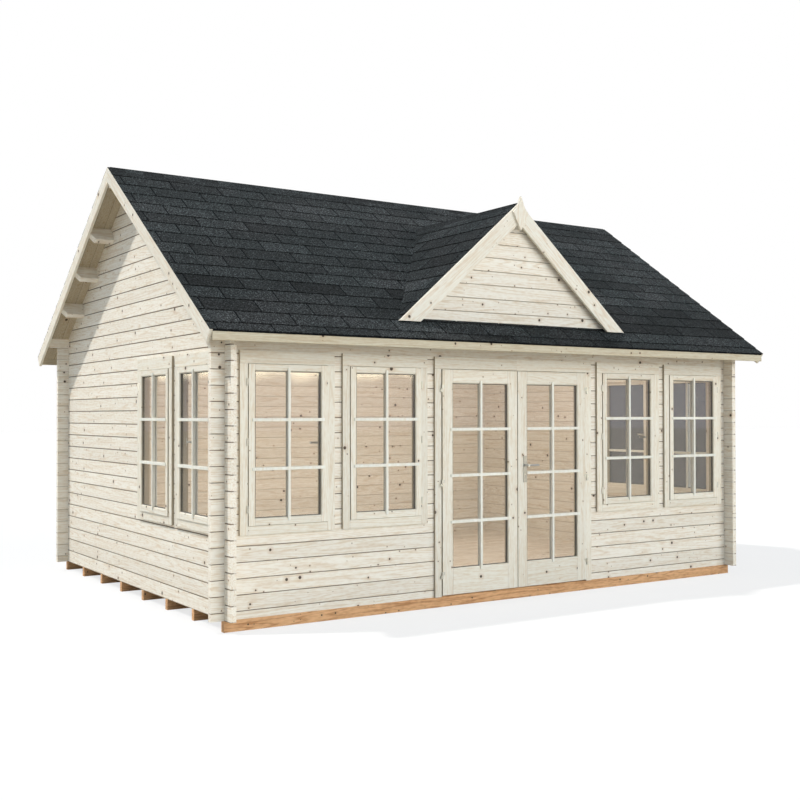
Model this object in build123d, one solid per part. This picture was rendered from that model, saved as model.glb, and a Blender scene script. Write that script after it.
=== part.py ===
# Garden annex: an interlocking-log garden room with a gabled roof, a closed
# gablet over a glazed double door, and casement windows on three sides.
# Millimetres. +X runs along the front wall, the front looks along -Y, +Z is up.
# Origin: centre of the plan at the underside of the bearers.
# Heights named below are measured from the foot of the log walls.
import os
from math import atan, cos, radians, sin, tan
from build123d import *

os.makedirs("parts", exist_ok=True)

# Driving sizes of the log walls
BEARER_H = 83.0             # bearers carry the walls, so the wall foot is this high
HALF_X = 2623.0             # plan centre to the outer face of a side wall
HALF_Y = 1902.0             # plan centre to the outer face of the front or back wall
LOG_T = 44.0                # log thickness
COURSE = 114.0              # height of one log
LOG_END = 103.0             # how far log ends pass the wall faces
GROOVE_D = 5.0              # depth of the V between two logs
GROOVE_HALF = 4.5           # half its height

# Driving sizes of the main roof
PITCH = radians(35.0)
RISE = tan(PITCH)
RIDGE_TOP = 3531.0          # shingle surface at the ridge
SHINGLE_T = 6.0             # square to the slope
BOARD_T = 19.0              # roof boards, square to the slope
ROOF_X = 2823.0             # roof length to the inside of the barge boards
BARGE_T = 22.0
BARGE_H = 127.0             # depth of a barge board, measured upright
EAVE_BOARDS = 2133.0        # eave reach of the roof boards
FASCIA_T = 20.0
FASCIA_FOOT = 1953.0
EAVE_SHINGLES = 2158.0
CAP_T = 4.0                 # folded ridge cap
CAP_HALF = 135.0
BOARDS_TOP = RIDGE_TOP - SHINGLE_T / cos(PITCH)
BOARDS_FOOT = BOARDS_TOP - BOARD_T / cos(PITCH)

# Purlins lie square to the slope and are let into the gable logs
PURLIN_T = 55.0
PURLIN_D = 130.0
PURLIN_Y = (490.0, 915.0, 1340.0)   # lower corner nearest the ridge
PURLIN_BEVEL = 58.0                 # cut-back of each lower end corner
RIDGE_PURLIN_D = 120.0

# Gablet over the door
GABLET_PITCH = radians(41.0)
GABLET_RISE = tan(GABLET_PITCH)
GABLET_TOP = 3208.0         # its shingle surface at the ridge
GABLET_FOOT = 2173.0        # level foot of its barge boards
GABLET_FACE_Y = -1908.0
GABLET_BARGE_Y = -1943.0    # back of its barge boards
GABLET_BARGE_H = 170.0
GABLET_BOARD_T = 16.0
GABLET_FACE_T = 20.0

# Windows: casing, sash and glass heights, and half widths
WIN_X = (-2130.0, -1290.0, 1290.0, 2130.0)
WIN_Y = (-565.0, -1400.0)
WIN_HEIGHTS = {"casing": (591.0, 1905.0), "reveal": (653.0, 1812.0), "hole": (631.0, 1834.0),
               "stop": (670.0, 1795.0), "sash": (656.0, 1809.0), "glass": (708.0, 1761.0)}
WIN_HALF = {"casing": 385.0, "reveal": 323.0, "hole": 345.0, "stop": 306.0, "sash": 320.0,
            "glass": 267.5}
CASING_T = 20.0
SASH_PROUD = 8.0            # sash and leaf faces stand this far before the casing
SASH_T = 56.0
GLASS_T = 6.0
GLASS_SET = 15.0            # glass behind the sash face
BEAD = 7.0                  # bevel round the glass opening
WIN_HINGE_Z = (1679.0, 1252.0, 775.0)

# Double door
DOOR_HOLE = (800.0, 1853.0)     # half width and height of the opening in the logs
DOOR_CASING = (832.0, 1905.0)
JAMB = (771.0, 1811.0)
STOP_LAP = 20.0
LEAF_X = (3.5, 765.0)       # meeting edge and hinge edge from the middle
LEAF_Z = (12.0, 1806.0)
LEAF_T = 44.0
PANE_X = (104.0, 662.0)
PANE_Z = (220.0, 1697.0)
PIN_X = 770.0
DOOR_HINGE_Z = (1655.0, 900.0, 170.0)
BARREL_R = 6.5
BARREL_H = 27.0
PIN_R = 3.0
PIN_HOLE_R = 3.06
LEAF_Y = -HALF_Y - CASING_T - SASH_PROUD
PIN_Y = LEAF_Y - 7.0
LOCK_X = 78.0
LEVER_Z = 1023.0
LEVER_LEN = 110.0
SPINDLE_R = 9.0
GRIP_REACH = 50.0           # leaf face to the middle of the grip

BEARERS = 8
BEARER_W = 45.0
BEARER_HALF_X = HALF_X + 4.0
FLOOR_T = 19.0
FAR = 6000.0                # beyond every edge of the building


def box(x, y, z):
    """Box from (low, high) pairs; z counts from the wall foot."""
    size = [b - a for a, b in (x, y, z)]
    middle = [(a + b) / 2 for a, b in (x, y, z)]
    return Pos(middle[0], middle[1], middle[2] + BEARER_H) * Box(*size)


def along_x(outline, x0, x1):
    """Extrude a (y, z) outline from x0 to x1."""
    face = make_face(Polyline(*[(0, y, BEARER_H + z) for y, z in outline], close=True))
    return Pos(x0, 0, 0) * extrude(face, amount=x1 - x0, dir=(1, 0, 0))


def along_y(outline, y0, y1):
    """Extrude an (x, z) outline from y0 to y1."""
    face = make_face(Polyline(*[(x, 0, BEARER_H + z) for x, z in outline], close=True))
    return Pos(0, y0, 0) * extrude(face, amount=y1 - y0, dir=(0, 1, 0))


def post(x, y, z0, z1, radius, sides):
    """Upright bar with flats, one of them facing the wall."""
    flat = RegularPolygon(radius, sides, rotation=90.0 - 180.0 / sides)
    return Pos(x, y, BEARER_H + z0) * extrude(flat, amount=z1 - z0)


def pin(x, y, z0, z1, radius):
    """Round upright bar."""
    return Pos(x, y, BEARER_H + (z0 + z1) / 2) * Cylinder(radius, z1 - z0)


def rod_y(x, z, y0, y1, radius):
    """Round bar along Y."""
    return Pos(x, (y0 + y1) / 2, BEARER_H + z) * Rot(90, 0, 0) * Cylinder(radius, y1 - y0)


def pair(sign, a, b):
    """Low and high of two distances measured outwards on one side."""
    return tuple(sorted((sign * a, sign * b)))


def save(name, *shapes):
    """Write one node from its solids."""
    solids = [solid for shape in shapes for solid in shape.solids()]
    whole = solids[0] if len(solids) == 1 else Compound(children=solids)
    export_step(whole, f"parts/{name}.step")
    print(f"{name:26s} {len(solids):3d} solids {sum(s.volume for s in solids) / 1e9:.4f} m3")


def soffit(y):
    """Height of the underside of the roof boards."""
    return BOARDS_FOOT - RISE * abs(y)


def gable_outline(ridge, reach=2600.0, floor=-200.0):
    """Everything under a pair of main slopes that meet at this height."""
    eave = ridge - RISE * reach
    return [(-reach, floor), (reach, floor), (reach, eave), (0, ridge), (-reach, eave)]


UNDER_ROOF = along_x(gable_outline(BOARDS_FOOT), -FAR, FAR)
UNDER_SHINGLES = along_x(gable_outline(RIDGE_TOP), -FAR, FAR)


# Roof timbers
def purlin(corner_y, side):
    """Purlin square to the slope with both lower end corners cut back."""
    long = along_y([(-ROOF_X, PURLIN_D), (ROOF_X, PURLIN_D), (ROOF_X, PURLIN_BEVEL),
                    (ROOF_X - PURLIN_BEVEL / 1.5, 0), (-ROOF_X + PURLIN_BEVEL / 1.5, 0),
                    (-ROOF_X, PURLIN_BEVEL)], *pair(side, 0, PURLIN_T))
    level = Pos(0, 0, -BEARER_H) * long
    corner_z = soffit(corner_y) - PURLIN_D / cos(PITCH)
    return Pos(0, side * corner_y, BEARER_H + corner_z) * Rot(-side * 35.0, 0, 0) * level


def ridge_purlin():
    half = PURLIN_T / 2
    foot = soffit(half) - RIDGE_PURLIN_D
    outline = [(-half, foot), (half, foot), (half, soffit(half)), (0, soffit(0)),
               (-half, soffit(half))]
    return along_x(outline, -ROOF_X, ROOF_X)


# Log walls
def log_section(top, first_seam, outer, inner, inner_grooves):
    """Wall section with a V at every seam, drawn up one face and down the other."""
    step = 1.0 if inner > outer else -1.0
    seams = []
    seam = first_seam
    while seam < top - COURSE / 3:
        seams.append(seam)
        seam += COURSE
    up = [(outer, 0)]
    down = [(inner, 0)]
    for z in seams:
        up += [(outer, z - GROOVE_HALF), (outer + step * GROOVE_D, z), (outer, z + GROOVE_HALF)]
        if inner_grooves:
            down += [(inner, z - GROOVE_HALF), (inner - step * GROOVE_D, z),
                     (inner, z + GROOVE_HALF)]
    return up + [(outer, top), (inner, top)] + down[::-1]


def corner_bites(side_x, side_y, phase):
    """The parts of one corner column that the crossing wall's logs fill."""
    x = pair(side_x, HALF_X - LOG_T, HALF_X)
    y = pair(side_y, HALF_Y - LOG_T, HALF_Y)
    count = int(soffit(HALF_Y - LOG_T) / COURSE) + 1
    bites = []
    for n in range(count):
        foot = (n + phase) * COURSE
        bites.append(box(x, y, (foot, foot + COURSE / 2)))
    return bites


def long_wall(side_y, inner_grooves):
    """Front or back wall: it starts with a half log and ends as the wall plate."""
    outer = side_y * HALF_Y
    inner = side_y * (HALF_Y - LOG_T)
    top = soffit(HALF_Y - LOG_T) + 20
    reach = HALF_X + LOG_END
    wall = along_x(log_section(top, COURSE / 2, outer, inner, inner_grooves), -reach, reach)
    plate_foot = 18.5 * COURSE
    y = pair(side_y, HALF_Y - LOG_T, HALF_Y)
    for side_x in (-1, 1):
        root = side_x * (reach - 20)
        tip = side_x * ROOF_X
        wall += along_y([(root, plate_foot), (tip - side_x * 22, plate_foot),
                         (tip, plate_foot + 34), (tip, top), (root, top)], *y)
        if side_y < 0:
            step = side_x * (reach + 26)
            wall += along_y([(root, 1916), (side_x * reach, 1916), (step, 1981),
                             (step, plate_foot + 10), (root, plate_foot + 10)], *y)
    wall &= UNDER_ROOF
    for side_x in (-1, 1):
        wall -= Compound(children=corner_bites(side_x, side_y, 0.25))
    return wall


def side_wall(side_x, purlins):
    """Side wall and its gable: full logs, notched at the corners and for the purlins."""
    outer = side_x * HALF_X
    inner = side_x * (HALF_X - LOG_T)
    section = log_section(soffit(0) + 20, COURSE, outer, inner, inner_grooves=False)
    wall = along_y(section, -HALF_Y - LOG_END, HALF_Y + LOG_END) & UNDER_ROOF
    for side_y in (-1, 1):
        wall -= Compound(children=corner_bites(side_x, side_y, -0.25))
    for timber in purlins:
        wall -= timber
    return wall


# Windows are drawn in the front wall at x = 0 and then placed
def ring(outer, inner, y0, y1):
    """Frame between two named outlines of the window."""
    solid = box((-WIN_HALF[outer], WIN_HALF[outer]), (y0, y1), WIN_HEIGHTS[outer])
    hole = box((-WIN_HALF[inner], WIN_HALF[inner]), (y0 - 1, y1 + 1), WIN_HEIGHTS[inner])
    return solid - hole


def window_frame():
    face = -HALF_Y
    inside = -HALF_Y + LOG_T
    stop = LEAF_Y + SASH_T
    frame = ring("casing", "reveal", face - CASING_T, face)
    frame += ring("hole", "reveal", face, stop)
    frame += ring("hole", "stop", stop, inside)
    return frame + ring("casing", "stop", inside, inside + 14)


def bevelled_opening(x, z, face_y, depth):
    """Opening with a bevel all round at the outer face."""
    hole = box(x, (face_y - 1, face_y + depth + 1), z)
    (x0, x1), (z0, z1) = x, z
    wide = [(x0 - BEAD, z0 - BEAD), (x1 + BEAD, z0 - BEAD), (x1 + BEAD, z1 + BEAD),
            (x0 - BEAD, z1 + BEAD)]
    tight = [(x0, z0), (x1, z0), (x1, z1), (x0, z1)]
    faces = [make_face(Polyline(*[(px, y, BEARER_H + pz) for px, pz in pts], close=True))
             for pts, y in ((wide, face_y), (tight, face_y + BEAD))]
    return hole + loft(faces)


def window_sash():
    half, heights = WIN_HALF, WIN_HEIGHTS
    body = box((-half["sash"], half["sash"]), (LEAF_Y, LEAF_Y + SASH_T), heights["sash"])
    return body - bevelled_opening((-half["glass"], half["glass"]), heights["glass"],
                                   LEAF_Y, SASH_T)


def pane(x, z):
    return box(x, (LEAF_Y + GLASS_SET, LEAF_Y + GLASS_SET + GLASS_T), z)


def window_pane():
    return pane((-WIN_HALF["glass"], WIN_HALF["glass"]), WIN_HEIGHTS["glass"])


def window_hinges(side):
    """Three barrels seated on the casing beside the sash."""
    flat = 6.0
    y = -HALF_Y - CASING_T - flat
    x = side * (WIN_HALF["reveal"] + flat)
    radius = flat / cos(radians(30.0))
    return [post(x, y, z - 27, z + 27, radius, 6) for z in WIN_HINGE_Z]


def in_side_wall(shape, y, side_x):
    """Turn a front-wall piece to face out of a side wall."""
    centred = Pos(0, HALF_Y, 0) * shape
    return Pos(side_x * HALF_X, y, 0) * Rot(0, 0, side_x * 90.0) * centred


# Main roof covering
def slope_layer(side, top, thickness, eave):
    """Sheet on one slope, cut upright at ridge and eave."""
    foot = top - thickness / cos(PITCH)
    outline = [(0, foot), (0, top), (side * eave, top - RISE * eave),
               (side * eave, foot - RISE * eave)]
    return along_x(outline, -ROOF_X, ROOF_X)


def fascia(side):
    outer = EAVE_BOARDS + FASCIA_T
    outline = [(side * EAVE_BOARDS, FASCIA_FOOT), (side * outer, FASCIA_FOOT),
               (side * outer, BOARDS_TOP - RISE * outer),
               (side * EAVE_BOARDS, BOARDS_TOP - RISE * EAVE_BOARDS)]
    return along_x(outline, -ROOF_X, ROOF_X)


def barge_board(side_x, side_y):
    """Verge board flush with the shingles, its lower end cut square to the slope."""
    eave = EAVE_SHINGLES - 3
    depth = BARGE_H * cos(PITCH)
    outline = [(0, RIDGE_TOP - BARGE_H), (0, RIDGE_TOP),
               (side_y * eave, RIDGE_TOP - RISE * eave),
               (side_y * (eave - depth * sin(PITCH)),
                RIDGE_TOP - RISE * eave - depth * cos(PITCH))]
    return along_x(outline, *pair(side_x, ROOF_X, ROOF_X + BARGE_T))


def ridge_cap():
    drop = RISE * CAP_HALF
    outline = [(-CAP_HALF, RIDGE_TOP - drop), (0, RIDGE_TOP), (CAP_HALF, RIDGE_TOP - drop),
               (CAP_HALF, RIDGE_TOP - drop + CAP_T), (0, RIDGE_TOP + CAP_T),
               (-CAP_HALF, RIDGE_TOP - drop + CAP_T)]
    return along_x(outline, -ROOF_X, ROOF_X)


# Gablet
GABLET_SHINGLES = SHINGLE_T / cos(GABLET_PITCH)
GABLET_BOARDS = GABLET_SHINGLES + GABLET_BOARD_T / cos(GABLET_PITCH)
GABLET_REACH = (GABLET_TOP - GABLET_FOOT) / GABLET_RISE


def gablet_layer(side, from_top, to_top):
    """Sheet on one gablet slope between two depths, scribed to the main roof."""
    edge = GABLET_REACH + 60
    drop = GABLET_RISE * edge
    outline = [(0, GABLET_TOP - to_top), (0, GABLET_TOP - from_top),
               (side * edge, GABLET_TOP - from_top - drop),
               (side * edge, GABLET_TOP - to_top - drop)]
    return along_y(outline, GABLET_BARGE_Y, 0) - UNDER_SHINGLES


def gablet_cap():
    half = CAP_HALF - 15
    drop = GABLET_RISE * half
    outline = [(-half, GABLET_TOP - drop), (0, GABLET_TOP), (half, GABLET_TOP - drop),
               (half, GABLET_TOP - drop + CAP_T), (0, GABLET_TOP + CAP_T),
               (-half, GABLET_TOP - drop + CAP_T)]
    return along_y(outline, GABLET_BARGE_Y, 0) - UNDER_SHINGLES


def gablet_barge(side):
    edge = GABLET_REACH + 60
    drop = GABLET_RISE * edge
    outline = [(0, GABLET_TOP - GABLET_BARGE_H), (0, GABLET_TOP),
               (side * edge, GABLET_TOP - drop),
               (side * edge, GABLET_TOP - drop - GABLET_BARGE_H)]
    board = along_y(outline, GABLET_BARGE_Y - BARGE_T, GABLET_BARGE_Y)
    above = box((-FAR, FAR), (-FAR, 0), (GABLET_FOOT, FAR))
    return (board & above) - UNDER_SHINGLES


def gablet_face():
    """Boarded triangle under the gablet roof, standing on the main slope."""
    back = GABLET_FACE_Y + GABLET_FACE_T
    half = GABLET_REACH + 100
    first = 19 * COURSE
    section = [(GABLET_FACE_Y, 2100.0)]
    for n in range(9):
        seam = first + n * COURSE
        section += [(GABLET_FACE_Y, seam - GROOVE_HALF), (GABLET_FACE_Y + GROOVE_D, seam),
                    (GABLET_FACE_Y, seam + GROOVE_HALF)]
    section += [(GABLET_FACE_Y, GABLET_TOP), (back, GABLET_TOP), (back, 2100.0)]
    boards = along_x(section, -half, half)
    top = GABLET_TOP - GABLET_BOARDS
    roof = along_y([(-half, 2000.0), (half, 2000.0), (half, top - GABLET_RISE * half), (0, top),
                    (-half, top - GABLET_RISE * half)], GABLET_FACE_Y - 1, back + 1)
    return (boards & roof) - UNDER_SHINGLES


def finial():
    """Spear-shaped board over the joint of the gablet's barge boards."""
    y1 = GABLET_BARGE_Y - BARGE_T
    half = [(0, 3262.0), (42, 3162.0), (78, 3122.0), (0, 2972.0)]
    mirrored = [(-x, z) for x, z in half[1:3]]
    return along_y(half + mirrored[::-1], y1 - 20, y1)


# Door
def door_frame():
    """Jambs, head, sill, stops and the casings inside and outside, in one piece."""
    face = -HALF_Y
    inside = -HALF_Y + LOG_T
    stop = LEAF_Y + LEAF_T + 5
    hole_x, hole_z = DOOR_HOLE
    case_x, case_z = DOOR_CASING
    jamb_x, jamb_z = JAMB
    frame = box((-case_x, case_x), (face - CASING_T, face), (0, case_z))
    frame += box((-hole_x, hole_x), (face, inside), (0, hole_z))
    frame += box((-case_x, case_x), (inside, inside + 16), (FLOOR_T, case_z - 15))
    frame -= box((-jamb_x, jamb_x), (-FAR, 0), (-1, jamb_z))
    frame += box((-jamb_x, jamb_x), (stop, inside + 16), (FLOOR_T, jamb_z))
    frame -= box((-jamb_x + STOP_LAP, jamb_x - STOP_LAP), (-FAR, 0),
                 (FLOOR_T, jamb_z - STOP_LAP))
    return frame + box((-jamb_x, jamb_x), (stop, inside), (0, FLOOR_T))


def door_leaf(side):
    x = pair(side, *LEAF_X)
    leaf = box(x, (LEAF_Y, LEAF_Y + LEAF_T), LEAF_Z)
    leaf -= bevelled_opening(pair(side, *PANE_X), PANE_Z, LEAF_Y, LEAF_T)
    if side > 0:
        leaf -= rod_y(LOCK_X, LEVER_Z, LEAF_Y - 1, LEAF_Y + LEAF_T + 1, SPINDLE_R + 0.4)
    return leaf


def hinge_on_frame(side, z):
    """Lower barrel with its pin, on a block screwed to the casing."""
    x = side * PIN_X
    half = post(x, PIN_Y, z - BARREL_H - 1, z - 1, BARREL_R, 8)
    half += pin(x, PIN_Y, z - 6, z + BARREL_H - 4, PIN_R)
    block = box(pair(side, PIN_X, PIN_X + 16), (PIN_Y, -HALF_Y - CASING_T),
                (z - BARREL_H, z - 2))
    return half + block


def hinge_on_leaf(side, z):
    """Upper barrel bored for the pin, with a flap on the leaf."""
    x = side * PIN_X
    half = post(x, PIN_Y, z + 1, z + BARREL_H + 1, BARREL_R, 8)
    half += box(pair(side, PIN_X - 26, PIN_X), (LEAF_Y - 3, LEAF_Y), (z + 2, z + BARREL_H))
    return half - pin(x, PIN_Y, z, z + BARREL_H - 3, PIN_HOLE_R)


def lock_plate(y):
    """Long plate with a spindle hole and a keyhole."""
    plate = box((LOCK_X - 20, LOCK_X + 20), y, (LEVER_Z - 143, LEVER_Z + 77))
    y0, y1 = y[0] - 1, y[1] + 1
    plate -= rod_y(LOCK_X, LEVER_Z, y0, y1, SPINDLE_R + 0.4)
    keyhole = [(-3, -98), (3, -98), (3, -82), (7, -78), (4, -71), (-4, -71), (-7, -78), (-3, -82)]
    return plate - along_y([(LOCK_X + dx, LEVER_Z + dz) for dx, dz in keyhole], y0, y1)


def door_lever():
    """One spindle through the leaf with a grip inside and outside."""
    outside = LEAF_Y - GRIP_REACH
    inside = LEAF_Y + LEAF_T + GRIP_REACH
    lever = rod_y(LOCK_X, LEVER_Z, outside - 7, inside + 7, SPINDLE_R)
    for y in (outside, inside):
        bar = Pos(LOCK_X, y, BEARER_H + LEVER_Z) * Rot(0, 90, 0) * RegularPolygon(8, 8)
        lever += extrude(bar, amount=LEVER_LEN, dir=(1, 0, 0))
    return lever


# Build and write every node
purlins = [purlin(y, side) for y in PURLIN_Y for side in (-1, 1)] + [ridge_purlin()]
save("purlins", *purlins)

front = long_wall(-1, inner_grooves=False)
through = (-HALF_Y - 100, -HALF_Y + LOG_T + 100)
for x in WIN_X:
    front -= box((x - WIN_HALF["hole"], x + WIN_HALF["hole"]), through, WIN_HEIGHTS["hole"])
front -= box((-DOOR_HOLE[0], DOOR_HOLE[0]), through, (-1, DOOR_HOLE[1]))
save("front_wall_left", front & box((-FAR, -DOOR_HOLE[0]), through, (-1, FAR)))
save("front_wall_right", front & box((DOOR_HOLE[0], FAR), through, (-1, FAR)))
save("front_wall_over_door", front & box((-DOOR_HOLE[0], DOOR_HOLE[0]), through, (0, FAR)))
save("back_wall", long_wall(1, inner_grooves=True))

GABLE_FOOT = 18 * COURSE
for side_x, name in ((-1, "left"), (1, "right")):
    wall = side_wall(side_x, purlins)
    for y in WIN_Y:
        wall -= box(pair(side_x, HALF_X - 100, HALF_X + 100),
                    (y - WIN_HALF["hole"], y + WIN_HALF["hole"]), WIN_HEIGHTS["hole"])
    save(f"{name}_wall", wall & box((-FAR, FAR), (-FAR, FAR), (-1, GABLE_FOOT)))
    save(f"{name}_gable", wall & box((-FAR, FAR), (-FAR, FAR), (GABLE_FOOT, 2 * FAR)))

pieces = {"frames": window_frame(), "sashes": window_sash(), "glass": window_pane()}
placed = {}
for kind, piece in pieces.items():
    placed["front", kind] = [Pos(x, 0, 0) * piece for x in WIN_X]
    placed["side", kind] = [in_side_wall(piece, y, side) for side in (-1, 1) for y in WIN_Y]
for where in ("front", "side"):
    save(f"{where}_window_frames", *placed[where, "frames"])
    save(f"{where}_window_sashes", *placed[where, "sashes"])
save("window_glass", *placed["front", "glass"], *placed["side", "glass"])
barrels = []
for x, side in zip(WIN_X, (-1, 1, -1, 1)):
    barrels += [Pos(x, 0, 0) * hinge for hinge in window_hinges(side)]
for side_x in (-1, 1):
    for y, side in zip(WIN_Y, (side_x, -side_x)):
        barrels += [in_side_wall(hinge, y, side_x) for hinge in window_hinges(side)]
save("window_hinges", *barrels)

spacing = 2 * (HALF_Y - BEARER_W / 2) / (BEARERS - 1)
rows = [-HALF_Y + BEARER_W / 2 + n * spacing for n in range(BEARERS)]
save("bearers", *[box((-BEARER_HALF_X, BEARER_HALF_X), (y - BEARER_W / 2, y + BEARER_W / 2),
                      (-BEARER_H, 0)) for y in rows])
save("floor_boards", box((-HALF_X + LOG_T, HALF_X - LOG_T), (-HALF_Y + LOG_T, HALF_Y - LOG_T),
                         (0, FLOOR_T)))

for side, name in ((-1, "front"), (1, "back")):
    save(f"roof_boards_{name}", slope_layer(side, BOARDS_TOP, BOARD_T, EAVE_BOARDS))
    save(f"shingles_{name}", slope_layer(side, RIDGE_TOP, SHINGLE_T, EAVE_SHINGLES))
    save(f"left_barge_board_{name}", barge_board(-1, side))
    save(f"right_barge_board_{name}", barge_board(1, side))
save("eave_fascias", fascia(-1), fascia(1))
save("ridge_caps", ridge_cap(), gablet_cap())

for side, name in ((-1, "left"), (1, "right")):
    save(f"gablet_shingles_{name}", gablet_layer(side, 0, GABLET_SHINGLES))
    save(f"gablet_boards_{name}", gablet_layer(side, GABLET_SHINGLES, GABLET_BOARDS))
    save(f"gablet_barge_board_{name}", gablet_barge(side))
save("gablet_face", gablet_face())
save("gablet_finial", finial())

save("door_frame", door_frame())
save("door_frame_hinges", *[hinge_on_frame(side, z) for side in (-1, 1) for z in DOOR_HINGE_Z])
for side, name in ((-1, "left"), (1, "right")):
    save(f"{name}_door_leaf", door_leaf(side))
    save(f"{name}_door_glass", pane(pair(side, *PANE_X), PANE_Z))
    save(f"{name}_door_hinges", *[hinge_on_leaf(side, z) for z in DOOR_HINGE_Z])
leaf_back = LEAF_Y + LEAF_T
save("lock_plates", lock_plate((LEAF_Y - 4, LEAF_Y)), lock_plate((leaf_back, leaf_back + 4)))
save("door_lever", door_lever())
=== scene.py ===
# Looks of the garden annex: wood, shingles, glazing bars, seals, fittings, light and camera.
# Metres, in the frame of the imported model: X along the front, -Y out of the doors, Z up.
import math
import random

import bmesh
import bpy
from mathutils import Matrix, Vector


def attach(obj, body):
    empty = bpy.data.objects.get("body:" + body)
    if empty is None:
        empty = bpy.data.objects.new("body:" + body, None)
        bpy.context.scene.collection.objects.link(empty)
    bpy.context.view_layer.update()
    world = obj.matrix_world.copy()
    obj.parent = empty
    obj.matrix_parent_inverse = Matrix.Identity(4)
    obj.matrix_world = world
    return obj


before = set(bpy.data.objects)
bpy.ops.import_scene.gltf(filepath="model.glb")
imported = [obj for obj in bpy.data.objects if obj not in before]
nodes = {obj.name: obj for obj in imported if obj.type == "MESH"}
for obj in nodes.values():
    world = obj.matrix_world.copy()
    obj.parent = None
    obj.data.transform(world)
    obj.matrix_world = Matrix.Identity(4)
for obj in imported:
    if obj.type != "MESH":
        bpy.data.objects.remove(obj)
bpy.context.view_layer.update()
random.seed(7)

# Sizes shared with the part's source
BEARER_H = 0.083
HALF_X = 2.623
HALF_Y = 1.902
COURSE = 0.114
LOG_T = 0.044
BARGE_X = 2.845
PITCH = math.radians(35.0)
RIDGE_TOP = 3.531 + BEARER_H
EAVE_SHINGLES = 2.158
GABLET_PITCH = math.radians(41.0)
GABLET_TOP = 3.208 + BEARER_H
GABLET_FOOT = 2.173 + BEARER_H
GABLET_BARGE_Y = -1.943
LEAF_Y = -1.930
SASH_T = 0.056
GLASS_Y = (LEAF_Y + 0.015, LEAF_Y + 0.021)
WIN_X = (-2.130, -1.290, 1.290, 2.130)
WIN_Y = (-0.565, -1.400)
WIN_REVEAL_HALF = 0.323
WIN_REVEAL_Z = (0.653 + BEARER_H, 1.812 + BEARER_H)
WIN_GLASS_HALF = 0.2675
WIN_GLASS_Z = (0.708 + BEARER_H, 1.761 + BEARER_H)
JAMB_X = 0.771
JAMB_Z = (0.02, 1.811 + BEARER_H)
PANE_X = (0.104, 0.662)
PANE_Z = (0.220 + BEARER_H, 1.697 + BEARER_H)

# How much of a shingle course shows, and of a ridge cap
EXPOSURE = 0.169

# Joints and boards that the materials draw
SEAM_HALF = 0.0038
SIDE_SEAM_HALF = 0.0056
BOARD_JOINT = 0.004
BUTT_JOINT = 0.002
CAP_JOINT = 0.010
ROOF_BOARD_W = 0.096
FLOOR_BOARD_W = 0.114

WHITE = (1.0, 1.0, 1.0, 1.0)


# Shader writing
class Nodes:
    """A node tree whose nodes are added and linked in one call each."""

    def __init__(self, tree):
        self.tree = tree

    def add(self, kind, inputs, **settings):
        made = self.tree.nodes.new("ShaderNode" + kind)
        for key, value in settings.items():
            setattr(made, key, value)
        for key, value in inputs.items():
            self.feed(made.inputs[key], value)
        return made

    def feed(self, socket, value):
        if isinstance(value, bpy.types.NodeSocket):
            self.tree.links.new(value, socket)
        else:
            socket.default_value = value

    def math(self, operation, *values):
        return self.add("Math", dict(enumerate(values)), operation=operation).outputs[0]

    def step(self, value, low, high):
        """0 below low, 1 above high, smooth between; falls where low is above high."""
        made = self.add("MapRange", {0: value, 1: low, 2: high, 3: 0.0, 4: 1.0},
                        interpolation_type="SMOOTHSTEP")
        return made.outputs[0]

    def noise(self, vector, scale=1.0, detail=2.0, roughness=0.5):
        inputs = {"Vector": vector, "Scale": scale, "Detail": detail, "Roughness": roughness}
        return self.add("TexNoise", inputs).outputs["Fac"]

    def pick(self, factor, first, second):
        """First shader where factor is 0, second where it is 1."""
        return self.add("MixShader", {0: factor, 1: first, 2: second}).outputs[0]


class Shader(Nodes):
    """A material around its Principled shader."""

    def __init__(self, name):
        self.material = bpy.data.materials.new(name)
        self.material.use_nodes = True
        super().__init__(self.material.node_tree)
        self.surface = self.tree.nodes["Principled BSDF"]

    def set(self, **values):
        """Set or link the main shader's inputs, with _ for a space in their names."""
        for key, value in values.items():
            self.feed(self.surface.inputs[key.replace("_", " ")], value)

    def mix(self, factor, first, second):
        made = self.add("Mix", {0: factor, 6: first, 7: second}, data_type="RGBA")
        return made.outputs[2]

    def blend(self, factor, first, second):
        made = self.add("Mix", {0: factor, 2: first, 3: second})
        return made.outputs[0]

    def vector(self, x, y, z):
        return self.add("CombineXYZ", {0: x, 1: y, 2: z}).outputs[0]

    def stretched(self, place, scales):
        return self.vector(*[self.math("MULTIPLY", part, by) for part, by in zip(place, scales)])

    def where(self):
        """The point on its piece, at rest."""
        return self.add("TexCoord", {}).outputs["Object"]

    def place(self):
        """x, y and z of that point."""
        return self.add("SeparateXYZ", {0: self.where()}).outputs

    def dim(self, colour, factor):
        made = self.add("VectorMath", {0: colour, "Scale": factor}, operation="SCALE")
        return made.outputs[0]

    def attribute(self, name):
        return self.add("Attribute", {}, attribute_name=name).outputs["Fac"]

    def random(self, value):
        return self.add("TexWhiteNoise", {"W": value}, noise_dimensions="1D").outputs["Value"]

    def bump(self, height, strength, distance):
        made = self.add("Bump", {"Strength": strength, "Distance": distance, "Height": height})
        return made.outputs[0]


# Wood
PALE = (0.905, 0.870, 0.790, 1.0)
FIGURE = (0.740, 0.635, 0.500, 1.0)
JOINERY_PALE = (0.850, 0.825, 0.740, 1.0)
JOINERY_FIGURE = (0.735, 0.645, 0.510, 1.0)
SEAM_BROWN = (0.150, 0.098, 0.054, 1.0)
# Painted shade on the side faces of joinery, in brown
SHADED_SIDE_BROWN = (0.330, 0.265, 0.175, 1.0)
KNOT_BROWN = (0.042, 0.024, 0.014, 1.0)
HALO_BROWN = (0.500, 0.310, 0.160, 1.0)
SEAM_SHARE = 0.90
# How strongly the side faces of joinery get painted shade
SIDE_SHADE_SHARE = 0.75
KNOT_SHARE = 0.95
HALO_SHARE = 0.26
# Painted light: how much lighter the log ends are
ENDS_PAINTED_LIGHTER = 0.04
WOOD_ROUGHNESS = 0.62
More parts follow.
